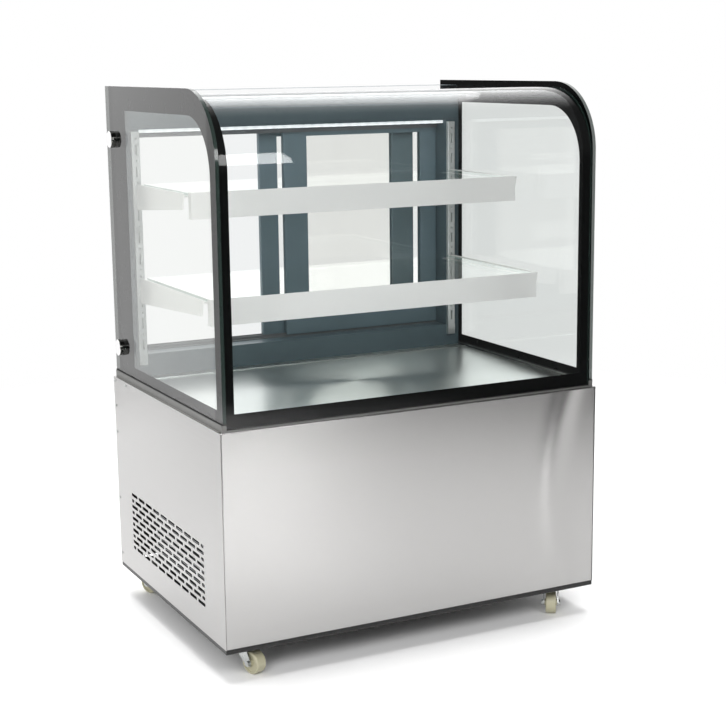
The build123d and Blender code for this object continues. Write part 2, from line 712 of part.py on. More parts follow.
def controller():
    """Digital thermostat with a bezel and pockets for its two keys."""
    bezel = block(
        CONTROLLER_X - 39, CONTROLLER_X + 39, REAR_FACE, REAR_FACE + 3, CONTROL_Z - 18, CONTROL_Z + 18,
    )
    bezel = fillet(bezel.edges().filter_by(Axis.Y), 3)
    body = block(
        CONTROLLER_X - 35.5, CONTROLLER_X + 35.5, 280, REAR_FACE, CONTROL_Z - 15, CONTROL_Z + 15,
    )
    case = bezel + body
    case -= block(
        CONTROLLER_X - 34, CONTROLLER_X + 8, REAR_FACE + 2, REAR_FACE + 4, CONTROL_Z - 12, CONTROL_Z + 12,
    )
    for name, x in BUTTONS.items():
        case -= block(x - 4.5, x + 4.5, REAR_FACE - 8, REAR_FACE + 4, CONTROL_Z - 3.5, CONTROL_Z + 3.5)
        key = block(x - 4, x + 4, REAR_FACE - 5, REAR_FACE + 4.2, CONTROL_Z - 3, CONTROL_Z + 3)
        key = fillet(key.edges().filter_by(Axis.Y), 1)
        save(name, key)
    save("controller", case)


def switch_housings():
    """Snap-in housings of the two rocker switches."""
    housings = []
    for x in SWITCHES.values():
        rim = block(x - 16.5, x + 16.5, REAR_FACE, REAR_FACE + 2, CONTROL_Z - 16.5, CONTROL_Z + 16.5)
        body = block(x - 14, x + 14, 312, REAR_FACE, CONTROL_Z - 14, CONTROL_Z + 14)
        shell = rim + body
        shell -= block(x - 12, x + 12, REAR_FACE - 14, REAR_FACE + 3, CONTROL_Z - 12, CONTROL_Z + 12)
        shell -= rod((x - 13.5, REAR_FACE - 1, CONTROL_Z), (x + 13.5, REAR_FACE - 1, CONTROL_Z), 1.55)
        housings.append(shell)
    save("switch_housings", *housings)


def rocker(name, x):
    """Rocker on a cross pin, tilted to its off position."""
    key = block(-11.5, 11.5, -8, 3.2, -10, 10)
    key -= Pos(0, 18.2, 0) * Rot(0, 90, 0) * Cylinder(16.2, 40)
    key += rod((-13, 0, 0), (13, 0, 0), 1.5)
    save(name, Pos(x, REAR_FACE - 1, CONTROL_Z) * Rot(-ROCKER_TILT, 0, 0) * key)


def power_inlet():
    """Three-pin appliance inlet: flange, recessed socket and pins."""
    flange = block(INLET_X - 20, INLET_X + 20, REAR_FACE, REAR_FACE + 2.5, INLET_Z - 16, INLET_Z + 16)
    body = block(INLET_X - 14, INLET_X + 14, 312, REAR_FACE, INLET_Z - 11.5, INLET_Z + 11.5)
    socket = flange + body
    socket -= block(
        INLET_X - 12, INLET_X + 12, REAR_FACE - 15, REAR_FACE + 3, INLET_Z - 9, INLET_Z + 9,
    )
    for dx, dz in ((-7, -2), (0, 2), (7, -2)):
        x, z = INLET_X + dx, INLET_Z + dz
        socket += block(x - 1, x + 1, REAR_FACE - 16, REAR_FACE - 4, z - 3, z + 3)
    save("power_inlet", socket)


# ---- Casters ----
CASTER_PLATE_BOTTOM = FLOOR_SHEET - 2.5
KINGPIN_RADIUS = 4.0
FORK_TOP = 63.0


def caster_plates():
    """Four fixed top plates, each with its kingpin."""
    plates = []
    for sx in (-1, 1):
        for sy in (-1, 1):
            x, y = sx * SWIVEL_X, sy * SWIVEL_Y
            plate = block(x - 30, x + 30, y - 25, y + 25, CASTER_PLATE_BOTTOM, FLOOR_SHEET)
            plate = fillet(plate.edges().filter_by(Axis.Z), 5)
            plate += Pos(x, y, FORK_TOP + 0.5) * Cylinder(
                14, CASTER_PLATE_BOTTOM - FORK_TOP - 0.5, align=(Align.CENTER, Align.CENTER, Align.MIN)
            )
            plate += Pos(x, y, 58) * Cylinder(
                KINGPIN_RADIUS, 10, align=(Align.CENTER, Align.CENTER, Align.MIN)
            )
            plates.append(plate)
    save("caster_plates", *plates)


def caster_fork():
    """Swivel fork about the origin's Z axis, its wheel towards +X, and its axle bolt."""
    top = Pos(0, 0, FORK_TOP - 2.5) * Cylinder(18, 2.5, align=(Align.CENTER, Align.CENTER, Align.MIN))
    leg_outline = Polyline(
        (-14, FORK_TOP), (14, FORK_TOP), (CASTER_TRAIL + 8, WHEEL_RADIUS + 2),
        (CASTER_TRAIL + 6, WHEEL_RADIUS - 6), (CASTER_TRAIL - 5, WHEEL_RADIUS - 7),
        (-14, FORK_TOP - 16), close=True,
    )
    leg = extrude(make_face(leg_outline), 2.5)
    legs = []
    for side in (-1, 1):
        offset = 15.0 if side > 0 else -17.5
        legs.append(Plane.XZ.offset(-offset - 2.5) * leg)
    fork = joined([top, *legs])
    fork -= rod((0, 0, 50), (0, 0, 70), KINGPIN_RADIUS + 0.05)
    fork -= rod((CASTER_TRAIL, -20, WHEEL_RADIUS), (CASTER_TRAIL, 20, WHEEL_RADIUS), 4.0)
    axle = rod((CASTER_TRAIL, -21, WHEEL_RADIUS), (CASTER_TRAIL, 21, WHEEL_RADIUS), 4.0)
    for y0, y1 in ((-21.5, -17.5), (17.5, 21.5)):
        nut = Plane(origin=(CASTER_TRAIL, y0, WHEEL_RADIUS), z_dir=(0, 1, 0)) * extrude(
            RegularPolygon(6.5, 6), y1 - y0
        )
        axle += nut
    return fork, axle


def caster_wheel():
    """Nylon wheel with a rounded tread and recessed faces, bored for its axle."""
    wheel = Cylinder(WHEEL_RADIUS, WHEEL_WIDTH)
    wheel = fillet(wheel.edges(), 3)
    for side in (-1, 1):
        wheel -= Pos(0, 0, side * WHEEL_WIDTH / 2) * (Cylinder(19, 3) - Cylinder(9, 3))
    wheel += Cylinder(7.5, 29)
    wheel -= Cylinder(4.05, 40)
    return Pos(CASTER_TRAIL, 0, WHEEL_RADIUS) * Rot(90, 0, 0) * wheel


def casters():
    """Place a fork and a wheel at each corner, turned as each one stands."""
    fork, axle = caster_fork()
    wheel = caster_wheel()
    for name, angle in CASTER_ANGLES.items():
        x = SWIVEL_X if "right" in name else -SWIVEL_X
        y = SWIVEL_Y if "rear" in name else -SWIVEL_Y
        place = Pos(x, y, 0) * Rot(0, 0, angle)
        save(f"{name}_fork", place * fork, place * axle)
        save(f"{name}_wheel", place * wheel)


def main():
    os.makedirs("parts", exist_ok=True)
    base_frame()
    front_panel()
    side_panel("left_side_panel", -1)
    side_panel("right_side_panel", 1)
    rear_service_panel()
    panel_screws()
    base_top_trim()
    glass_gasket()
    side_glass("left_side_glass", -1)
    side_glass("right_side_glass", 1)
    side_glass_borders()
    curved_front_glass()
    front_glass_border()
    glass_caps()
    well_tub()
    deck_pan()
    air_grilles()
    rear_sill()
    rear_posts()
    header_box()
    door_tracks()
    left_jamb = -DOOR_EDGE_CLOSED + LEFT_DOOR_OPEN
    sliding_door("left_door", left_jamb, left_jamb + DOOR_WIDTH, LEFT_DOOR_Y)
    sliding_door("right_door", DOOR_EDGE_CLOSED, DOOR_EDGE_CLOSED - DOOR_WIDTH, RIGHT_DOOR_Y)
    shelf_standards()
    shelf_brackets()
    shelf("upper_shelf", UPPER_SHELF_TOP, UPPER_SHELF_FRONT)
    shelf("middle_shelf", MIDDLE_SHELF_TOP, MIDDLE_SHELF_FRONT)
    led_lamps()
    condensing_unit()
    compressor()
    refrigerant_pipes()
    evaporator()
    drain_tray()
    electrical_box()
    controller()
    switch_housings()
    for name, x in SWITCHES.items():
        rocker(name, x)
    power_inlet()
    caster_plates()
    casters()


main()
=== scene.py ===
import json
import math

import bmesh
import bpy
from mathutils import Matrix, Vector


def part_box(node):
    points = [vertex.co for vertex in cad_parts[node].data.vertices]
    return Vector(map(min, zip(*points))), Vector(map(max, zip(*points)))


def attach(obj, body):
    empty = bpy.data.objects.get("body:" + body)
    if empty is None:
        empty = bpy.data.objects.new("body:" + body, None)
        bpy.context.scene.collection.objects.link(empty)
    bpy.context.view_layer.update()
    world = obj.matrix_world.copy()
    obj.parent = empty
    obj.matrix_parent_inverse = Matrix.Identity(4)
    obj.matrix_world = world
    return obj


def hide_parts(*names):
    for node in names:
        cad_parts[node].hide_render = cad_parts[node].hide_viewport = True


# Looks of a refrigerated display case: bent front glass, brushed steel base, sliding rear doors.
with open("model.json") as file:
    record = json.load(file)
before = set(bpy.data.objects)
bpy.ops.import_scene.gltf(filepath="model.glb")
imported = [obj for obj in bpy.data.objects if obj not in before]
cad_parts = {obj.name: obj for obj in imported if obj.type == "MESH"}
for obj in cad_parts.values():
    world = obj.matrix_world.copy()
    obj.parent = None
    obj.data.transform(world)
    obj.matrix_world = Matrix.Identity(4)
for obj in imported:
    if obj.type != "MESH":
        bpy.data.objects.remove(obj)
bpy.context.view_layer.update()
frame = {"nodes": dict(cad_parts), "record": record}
nodes = frame["nodes"]
MM = 0.001


# ---- Colour and shader helpers ----
def linear(colour):
    """sRGB hex to a linear RGBA value."""
    parts = [int(colour[i:i + 2], 16) / 255 for i in (1, 3, 5)]
    return tuple(c / 12.92 if c <= 0.04045 else ((c + 0.055) / 1.055) ** 2.4 for c in parts) + (1.0,)


def add(tree, kind, inputs=None, **settings):
    """Adds one shader node with its settings, values and links."""
    made = tree.nodes.new("ShaderNode" + kind)
    for name, value in settings.items():
        setattr(made, name, value)
    for name, value in (inputs or {}).items():
        if isinstance(value, bpy.types.NodeSocket):
            tree.links.new(value, made.inputs[name])
        else:
            made.inputs[name].default_value = value
    return made


def new_material(name):
    """An empty material and its node tree."""
    made = bpy.data.materials.new(name)
    made.use_nodes = True
    made.node_tree.nodes.clear()
    return made, made.node_tree


def stretched_noise(tree, scale, detail=2.0):
    """Noise on the piece's own metres; scale is the number of grains per metre along each axis."""
    place = add(tree, "TexCoord").outputs["Object"]
    spread = add(tree, "Mapping", {"Vector": place, "Scale": scale}).outputs["Vector"]
    return add(tree, "TexNoise", {"Vector": spread, "Scale": 1.0, "Detail": detail}).outputs["Fac"]


def between(tree, fac, low, high, start=0.3, end=0.7):
    """A pattern spread over a range of values."""
    return add(
        tree, "MapRange",
        {"Value": fac, "From Min": start, "From Max": end, "To Min": low, "To Max": high},
    ).outputs["Result"]


def two_tones(tree, fac, first, second):
    """A colour that goes from one tone to another with the pattern."""
    return add(
        tree, "Mix", {0: fac, 6: linear(first), 7: linear(second)}, data_type="RGBA",
    ).outputs[2]


def grains(axis, along, across):
    """Grains per metre for a brushed grain that runs along one axis; sizes in millimetres."""
    return [1 / (along * MM) if name == axis else 1 / (across * MM) for name in "xyz"]


def even(size):
    """Grains per metre for a pattern of one size in every direction, in millimetres."""
    return [1 / (size * MM)] * 3


# ---- Metals ----
BULGE_NEAREST = 0.345       # how far right of the middle the bulge stands at its waist, in metres
BULGE_WAIST = 0.30          # height of its waist
BULGE_BOW = 0.75            # how fast it leans outwards above and below the waist, per metre
BULGE_WIDTH = 0.03


def spring_back(tree):
    """The shallow upright bulge that a sheet keeps beside its folded end, from 0 to 1."""
    place = add(tree, "TexCoord").outputs["Object"]
    split = add(tree, "SeparateXYZ", {0: place}).outputs
    up = add(tree, "Math", {0: split["Z"], 1: BULGE_WAIST}, operation="SUBTRACT").outputs[0]
    bent = add(tree, "Math", {0: up, 1: up}, operation="MULTIPLY").outputs[0]
    line = add(
        tree, "Math", {0: bent, 1: BULGE_BOW, 2: BULGE_NEAREST}, operation="MULTIPLY_ADD",
    ).outputs[0]
    off = add(tree, "Math", {0: split["X"], 1: line}, operation="SUBTRACT").outputs[0]
    share = add(tree, "Math", {0: off, 1: BULGE_WIDTH}, operation="DIVIDE").outputs[0]
    square = add(tree, "Math", {0: share, 1: share}, operation="MULTIPLY").outputs[0]
    return add(tree, "Math", {0: math.exp(-1.0), 1: square}, operation="POWER").outputs[0]


BRUSHED_LENGTH = 500        # length of one brushed line, in millimetres
BRUSHED_GAP = 2.2           # from line to line, in millimetres: coarser than real, so that they show
WAVE_LENGTH = 420           # from wave to wave of a sheet that isn't quite flat, in millimetres
SCRATCH_DEPTH = 0.00001     # in metres


def brushed_stainless(name, axis, light, dark, roughness=0.3, wave=0.0012, bulge=0.0, scratch=0.1):
    """Stainless sheet, belt-brushed: long fine lines stretch its highlights across the grain.
    The sheet also waves by wave metres, bulges by bulge metres beside its fold, and catches
    light on its scratches."""
    made, tree = new_material(name)
    lines = stretched_noise(tree, grains(axis, BRUSHED_LENGTH, BRUSHED_GAP), 3.0)
    waves = stretched_noise(tree, even(WAVE_LENGTH), 0.0)
    normal = add(tree, "Bump", {"Height": waves, "Strength": 1.0, "Distance": wave}).outputs["Normal"]
    if bulge:
        fold = spring_back(tree)
        normal = add(tree, "Bump", {"Height": fold, "Distance": bulge, "Normal": normal}).outputs["Normal"]
    normal = add(
        tree, "Bump",
        {"Height": lines, "Strength": scratch, "Distance": SCRATCH_DEPTH, "Normal": normal},
    ).outputs["Normal"]
    shader = add(tree, "BsdfPrincipled", {
        "Base Color": two_tones(tree, lines, dark, light),
        "Metallic": 1.0,
        "Roughness": between(tree, lines, roughness - 0.01, roughness + 0.01),
        "Anisotropic": 0.65,
        "Anisotropic Rotation": 0.25,
        "Tangent": add(tree, "Tangent", direction_type="RADIAL", axis="Z").outputs["Tangent"],
        "Normal": normal,
    })
    add(tree, "OutputMaterial", {"Surface": shader.outputs["BSDF"]})
    return made


def satin_fascia(name):
    """Pale lacquered satin steel: most of the light scatters, the rest stretches up and down.
    Its lines are 300 mm long and drawn 1.6 mm apart, coarser than real, so that they show."""
    made, tree = new_material(name)
    lines = stretched_noise(tree, grains("x", 300, 1.6))
    shader = add(tree, "BsdfPrincipled", {
        "Base Color": two_tones(tree, lines, "#EAE9E7", "#EEEDEB"),
        "Metallic": 0.3,
        "Roughness": between(tree, lines, 0.37, 0.40),
        "Anisotropic": 0.6,
        "Anisotropic Rotation": 0.25,
        "Tangent": add(tree, "Tangent", direction_type="RADIAL", axis="Z").outputs["Tangent"],
    })
    add(tree, "OutputMaterial", {"Surface": shader.outputs["BSDF"]})
    return made


def plain_metal(name, light, dark, roughness, grain=3.0, bump=0.00002):
    """Bare or plated metal with a faint mottle from its finish, drawn coarser than real so that
    it shows. The grain is its width in millimetres, the bump its depth in metres."""
    made, tree = new_material(name)
    mottle = stretched_noise(tree, even(grain))
    shader = add(tree, "BsdfPrincipled", {
        "Base Color": two_tones(tree, mottle, dark, light),
        "Metallic": 1.0,
        "Roughness": between(tree, mottle, roughness * 0.85, roughness * 1.2),
        "Normal": add(tree, "Bump", {"Height": mottle, "Distance": bump}).outputs["Normal"],
    })
    add(tree, "OutputMaterial", {"Surface": shader.outputs["BSDF"]})
    return made


BARREL_SLOPE = 0.5          # sideways share of the normal that tells a cap's face from its barrel


def turned_chrome(name):
    """Chrome polished bright on its flat face; its turned barrel gets a painted dark reflection, a darker
    copy of the same chrome.
    """
    made, tree = new_material(name)
    normal = add(tree, "NewGeometry").outputs["True Normal"]
    side = add(tree, "SeparateXYZ", {0: normal}).outputs["X"]
    across = add(tree, "Math", {0: side}, operation="ABSOLUTE").outputs[0]
    face_vs_painted_dark_barrel = add(tree, "Math", {0: across, 1: BARREL_SLOPE}, operation="GREATER_THAN").outputs[0]
    marks = stretched_noise(tree, grains("x", 0.3, 8.0))
    shader = add(tree, "BsdfPrincipled", {
        # painted reflection: the barrel gets the darker #5C5C5A in place of the chrome's own bright tone
        "Base Color": two_tones(tree, face_vs_painted_dark_barrel, "#5C5C5A", "#EDEDED"),
        "Metallic": 1.0,
        "Roughness": between(tree, marks, 0.06, 0.10),
    })
    add(tree, "OutputMaterial", {"Surface": shader.outputs["BSDF"]})
    return made


# ---- Paints, plastics and rubber ----
def coated(name, light, dark, roughness, grain=1.5, bump=0.00003, coat=0.0, ior=1.5):
    """Paint or moulded plastic: a grain in its gloss, drawn coarser than real so that it shows,
    and a slight change of tone. The grain is its width in millimetres, the bump its depth in metres."""
    made, tree = new_material(name)
    grain_fac = stretched_noise(tree, even(grain))
    cloud = stretched_noise(tree, even(90))
    shader = add(tree, "BsdfPrincipled", {
        "Base Color": two_tones(tree, cloud, dark, light),
        "Roughness": between(tree, grain_fac, roughness * 0.85, min(roughness * 1.2, 1.0)),
        "IOR": ior,
        "Coat Weight": coat,
        "Coat Roughness": 0.08,
        "Normal": add(tree, "Bump", {"Height": grain_fac, "Distance": bump}).outputs["Normal"],
    })
    add(tree, "OutputMaterial", {"Surface": shader.outputs["BSDF"]})
    return made


def lit_digits(name, colour):
    """Small lamps behind a smoked window."""
    made, tree = new_material(name)
    glow = stretched_noise(tree, even(1.5))
    shader = add(tree, "BsdfPrincipled", {
        "Base Color": linear(colour),
        "Roughness": 0.4,
        "Emission Color": linear(colour),
        "Emission Strength": between(tree, glow, 1.6, 2.2),
    })
    add(tree, "OutputMaterial", {"Surface": shader.outputs["BSDF"]})
    return made


CHIP_PITCH = 25 * MM


def opal_diffuser(name):
    """Milky lamp cover lit from inside, a little brighter in front of each chip behind it."""
    made, tree = new_material(name)
    place = add(tree, "TexCoord").outputs["Object"]
    along = add(tree, "SeparateXYZ", {0: place}).outputs["X"]
    phase = add(tree, "Math", {0: along, 1: 2 * math.pi / CHIP_PITCH}, operation="MULTIPLY").outputs[0]
    chips = add(tree, "Math", {0: phase}, operation="COSINE").outputs[0]
    shader = add(tree, "BsdfPrincipled", {
        "Base Color": linear("#F4F6F7"),
        "Roughness": 0.35,
        "Emission Color": linear("#F6FBFF"),
        "Emission Strength": between(tree, chips, 0.45, 0.75, -1.0, 1.0),
    })
    add(tree, "OutputMaterial", {"Surface": shader.outputs["BSDF"]})
    return made


# ---- Glass ----
EDGE_SLOPE = 0.7            # sideways share of the normal that tells a cut edge from a face
GLANCE = 5.0                # how late a face turns into a mirror as it is seen more from the side


def pane(name, tint, edge, mirror, edge_is_across, edge_cover=0.6):
    """Float glass, clear through its faces and green or dark at its cut edges.
    Each face mirrors a little straight on and much more at a glance."""
    made, tree = new_material(name)
    facing = add(tree, "LayerWeight", {"Blend": 0.5}).outputs["Facing"]
    glance = add(tree, "Math", {0: facing, 1: GLANCE}, operation="POWER").outputs[0]
    reflect = between(tree, glance, mirror, 1.0, 0.0, 1.0)
    smears = stretched_noise(tree, even(60))
    gloss = add(tree, "BsdfAnisotropic", {
        "Color": linear("#FFFFFF"),
        "Roughness": between(tree, smears, 0.01, 0.03),
    }, distribution="GGX")
    clear = add(tree, "BsdfTransparent", {"Color": linear(tint)})
    face = add(tree, "MixShader", {0: reflect, 1: clear.outputs[0], 2: gloss.outputs[0]})
    side = add(tree, "SeparateXYZ", {0: add(tree, "NewGeometry").outputs["True Normal"]}).outputs["X"]
    across = add(tree, "Math", {0: side}, operation="ABSOLUTE").outputs[0]
    test = "GREATER_THAN" if edge_is_across else "LESS_THAN"
    is_edge = add(tree, "Math", {0: across, 1: EDGE_SLOPE}, operation=test).outputs[0]
    cut = add(tree, "BsdfPrincipled", {
        "Base Color": linear(edge), "Roughness": 0.12, "IOR": 1.52, "Coat Weight": 0.4,
    })
    rim = add(tree, "MixShader", {0: edge_cover, 1: clear.outputs[0], 2: cut.outputs[0]})
    whole = add(tree, "MixShader", {0: is_edge, 1: face.outputs[0], 2: rim.outputs[0]})
    add(tree, "OutputMaterial", {"Surface": whole.outputs[0]})
    return made


# ---- Every finish by its slot, and what it gives the eye ----
finishes = {
    # soft grey gloss drawn out across the brushing
    "brushed_stainless": brushed_stainless("brushed 304 stainless sheet", "x", "#B8B6B4", "#B3B1AF"),
    # paler and smoother floor that mirrors the goods softly
    "deck_stainless": brushed_stainless(
        "satin stainless deck", "x", "#D2D7D5", "#CDD2D0", wave=0.0002, scratch=0.02,
    ),
    # near-white shelf fronts with a silky sheen
    "shelf_steel": satin_fascia("fine satin pale steel"),
    # pebbled black that keeps a dull edge line
    "black_painted_steel": coated(
        "black powder-coated steel", "#161616", "#0D0D0D", 0.42, grain=0.8, bump=0.00004,
    ),
    # dark satin line under the glass
    "trim_aluminium": plain_metal("satin anodised aluminium", "#7E7E7C", "#70706E", 0.4),
    # flat black seam with no shine
    "black_rubber": coated("black EPDM rubber", "#151515", "#0C0C0C", 0.75, grain=0.6),
    # deep black behind the glass: fused to it, it has no gloss of its own
    "enamel_print": coated(
        "fired black enamel on glass", "#070808", "#050606", 0.3, grain=30.0, bump=0.0, ior=1.08,
    ),
    # bright disc on a barrel with a painted dark reflection
    "chrome_cap": turned_chrome("polished chrome cap"),
    # soft white tub wall
    "liner_plastic": coated("white ABS liner", "#DDE0DF", "#D2D6D5", 0.45),
    # slate grey with a broad dull highlight
    "frame_paint": coated("dark grey satin paint", "#54646A", "#49585E", 0.38),
    # a tone lighter and glossier than the painted frame
    "door_frame_plastic": coated("extruded dark grey PVC", "#687A82", "#5C6D74", 0.32),
    # mottled silver with a cool glint
    "zinc_steel": plain_metal("bright zinc plate", "#C3C5C4", "#A9ACAB", 0.3),
    # even milky glow
    "lamp_diffuser": opal_diffuser("opal polycarbonate diffuser"),
    # dull pale fins
    "coil_aluminium": plain_metal("mill-finish aluminium fins", "#BFC1C2", "#A8ABAC", 0.45),
    # black with a soft sheen on the round shells
    "motor_paint": coated("black motor enamel", "#1E1F20", "#151617", 0.35),
    # rough black blades
    "fan_plastic": coated("glass-filled black nylon", "#18191A", "#101112", 0.55),
    # warm red metal
    "copper_tube": plain_metal("drawn copper tube", "#C98A63", "#B27450", 0.28, grain=6.0),
    # mid grey box with a fine grain
    "grey_plastic": coated("grey moulded ABS", "#6A6D6F", "#5E6163", 0.5),
    # black mouldings with a fine grain
    "black_plastic": coated("black moulded ABS", "#161718", "#0F1011", 0.48),
    # waxy cream tread
    "nylon_wheel": coated(
        "cream cast nylon", "#B4B096", "#A8A48A", 0.4, grain=1.2, bump=0.00004, coat=0.15,
    ),
    # colourless pane with pale green cut edges
    "clear_glass": pane(
        "clear toughened glass shelf", "#FCFDFC", "#A3C2BA", 0.04, edge_is_across=True, edge_cover=0.5,
    ),
    # colourless pane with dark edges
    "door_glass": pane("double door glass", "#FDFDFC", "#2F4B47", 0.03, edge_is_across=True),
}
# painted shade: the front and side sheets are darker copies of the same stainless, each toned down for how
# light falls on its face
front_steel = brushed_stainless(
    "brushed 304 stainless front sheet", "x", "#ADACAB", "#A5A4A3", 0.22, bulge=0.008, scratch=0.15,
)
side_panel_steel = brushed_stainless(
    "brushed 304 stainless side sheet", "y", "#A9A8A7", "#A2A1A0", scratch=0.15,
)
# painted shade: the side and bent panes' cut edges get a dark #26332F that stands in for the black enamel
# seen through them, in place of the glass's own green
side_pane = pane(
    "clear toughened side glass", "#F7F8F7", "#26332F", 0.04, edge_is_across=False, edge_cover=0.85,
)
bent_pane = pane(
    "clear bent front glass", "#FBFCFC", "#26332F", 0.035, edge_is_across=True, edge_cover=0.85,
)
overrides = {
    "shelf_standards": plain_metal("dull zinc plate", "#E2E4E3", "#CED1D0", 0.5),
    "front_panel": front_steel,
    "left_side_panel": side_panel_steel,
    "right_side_panel": side_panel_steel,
    "left_side_glass": side_pane,
    "right_side_glass": side_pane,
    "curved_front_glass": bent_pane,
}


def dress(name, finish):
    """Gives a CAD node its finish."""
    mesh = nodes[name].data
    mesh.materials.clear()
    mesh.materials.append(finish)


for row in frame["record"]["subparts"]:
    dress(row["node"], overrides.get(row["node"], finishes[row["material_slot"]]))


# ---- Small pieces drawn here ----
def mesh_piece(name, build, finish, body):
    """A mesh made by a function, with its finish, on the body it moves with."""
    shape = bmesh.new()
    build(shape)
    mesh = bpy.data.meshes.new(name)
    shape.to_mesh(mesh)
    shape.free()
    mesh.materials.append(finish)
    piece = bpy.data.objects.new(name, mesh)
    bpy.context.scene.collection.objects.link(piece)
    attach(piece, body)
    return piece


def slab(shape, low, high, rounding=0.0, steps=2):
    """Adds a slab with softened edges to a mesh being built; low and high are its corners."""
    made = bmesh.ops.create_cube(shape, size=1.0)["verts"]
    size = high - low
    bmesh.ops.scale(shape, vec=size, verts=made)
    bmesh.ops.translate(shape, vec=(low + high) / 2, verts=made)
    if rounding:
        edges = list({edge for corner in made for edge in corner.link_edges})
        bmesh.ops.bevel(shape, geom=edges, offset=rounding, segments=steps, profile=0.5, affect="EDGES")


FOLD_RADIUS = 2.2 * MM
SHEET = 1.5 * MM
NEARLY_FLAT = 0.999


def front_sheet(shape):
    """Front panel: one sheet with its four edges folded back round a small radius, open behind."""
    low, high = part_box("front_panel")
    slab(shape, low, high, rounding=FOLD_RADIUS, steps=4)
    rear = [face for face in shape.faces if face.calc_center_median().y > high.y - FOLD_RADIUS]
    bmesh.ops.delete(shape, geom=rear, context="FACES")
    for face in shape.faces:
        face.smooth = abs(face.normal.y) < NEARLY_FLAT


def add_front_sheet():
    """The folded front panel, in place of its flat-edged solid."""
    panel = mesh_piece("front_sheet", front_sheet, front_steel, "case")
    thickness = panel.modifiers.new("sheet", "SOLIDIFY")
    thickness.thickness = SHEET
    thickness.offset = -1.0
    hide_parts("front_panel")


FUSED = 0.05 * MM           # how deep the enamel sits in its pane


def fired_print(name, node, nudge):
    """Enamel fused to its pane: sunk a hair into the glass, so no second face mirrors over it."""
    def build(shape):
        shape.from_mesh(nodes[node].data)
        for corner in shape.verts:
            corner.co += nudge(corner.co)

    piece = mesh_piece(name, build, finishes["enamel_print"], "case")
    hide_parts(node)


def add_prints():
    """Enamel borders of the side panes and of the bent pane."""
    def outward(place):
        return Vector((math.copysign(FUSED, place.x), 0, 0))

    def up_and_forward(place):
        return Vector((0, -FUSED, FUSED))

    fired_print("side_prints", "side_glass_borders", outward)
    fired_print("front_print", "front_glass_border", up_and_forward)


SEGMENTS = {
    "top": (0, 2, True), "middle": (0, 1, True), "foot": (0, 0, True),
    "upper_left": (0, 1, False), "upper_right": (1, 1, False),
    "lower_left": (0, 0, False), "lower_right": (1, 0, False),
}
DIGITS = (
    ("top", "upper_left", "upper_right", "lower_left", "lower_right", "foot"),
    ("upper_left", "upper_right", "middle", "lower_right"),
)
DISPLAY_DEPTH = 1.0 * MM
DISPLAY_WIDTH = 42 * MM
DISPLAY_SIDE = 5 * MM       # from the bezel's end to the window
DISPLAY_FOOT = 6 * MM       # from the bezel's edges to the window
LENS = 0.5 * MM
INK = 0.2 * MM              # how far the lit bars stand off the lens


def display_face():
    """Corners of the display window's recess in the controller's bezel, at its floor."""
    low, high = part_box("controller")
    floor = high.y - DISPLAY_DEPTH
    left = low.x + DISPLAY_SIDE
    return (
        Vector((left, floor, low.z + DISPLAY_FOOT)),
        Vector((left + DISPLAY_WIDTH, floor, high.z - DISPLAY_FOOT)),
    )


def display_window(shape):
    """Smoked lens in the recess."""
    low, high = display_face()
    slab(shape, low, high + Vector((0, LENS, 0)), rounding=0.2 * MM)


def display_digits(shape):
    """Two seven-segment figures on the lens."""
    low, high = display_face()
    cell, bar, tall = 7 * MM, 1.4 * MM, 7.5 * MM
    margin, pitch = 11 * MM, 12 * MM
    front = low.y + LENS
    foot = (low.z + high.z) / 2 - tall
    for place, lit in enumerate(DIGITS):
        left = high.x - margin - place * pitch
        for name in lit:
            column, row, flat = SEGMENTS[name]
            if flat:
                corner = Vector((left - cell, front, foot + row * tall - bar / 2))
                size = Vector((cell, INK, bar))
            else:
                corner = Vector((left - column * cell - bar / 2, front, foot + row * tall + bar))
                size = Vector((bar, INK, tall - 2 * bar))
            slab(shape, corner, corner + size, rounding=0.08 * MM)


RING_STEPS = 24
RING_INNER = 1.0 * MM
RING_OUTER = 1.5 * MM
RING_DROP = 14.2 * MM       # from a rocker's middle down to the ring
BAR_RISE = 12.9 * MM        # from its middle up to the bar
BAR_SIZE = Vector((0.8 * MM, 0.1 * MM, 2.6 * MM))


def switch_marks(shape):
    """On and off marks printed on the rims of the two rocker switches."""
    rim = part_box("switch_housings")[1].y
    for name in ("power_switch", "light_switch"):
        low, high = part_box(name)
        middle = (low + high) / 2
        bar = Vector((middle.x - BAR_SIZE.x / 2, rim, middle.z + BAR_RISE))
        slab(shape, bar, bar + BAR_SIZE, rounding=0.04 * MM)
        centre = Vector((middle.x, rim + BAR_SIZE.y, middle.z - RING_DROP))
        ring = []
        for turn in range(RING_STEPS):
            angle = turn * math.tau / RING_STEPS
            reach = Vector((math.cos(angle), 0, math.sin(angle)))
            ring.append((
                shape.verts.new(centre + reach * RING_INNER),
                shape.verts.new(centre + reach * RING_OUTER),
            ))
        for turn, (inner, outer) in enumerate(ring):
            next_inner, next_outer = ring[(turn + 1) % RING_STEPS]
            shape.faces.new((inner, outer, next_outer, next_inner))


def add_controls():
    """Display and switch markings on the rear panel."""
    lens = coated(
        "smoked polycarbonate lens", "#0A0A0C", "#070709", 0.08, grain=20.0, bump=0.0, coat=0.6,
    )
    mesh_piece("display_window", display_window, lens, "case")
    lamps = lit_digits("red display lamps", "#FF3A22")
    mesh_piece("display_digits", display_digits, lamps, "case")
    paint = coated("white pad print", "#E8E8E6", "#E0E0DE", 0.5)
    mesh_piece("switch_marks", switch_marks, paint, "case")


add_front_sheet()
add_prints()
add_controls()


# ---- Floor ----
FLOOR_RADIUS = 3.0          # in metres
FADE_START = 2.2
FADE_END = 2.9


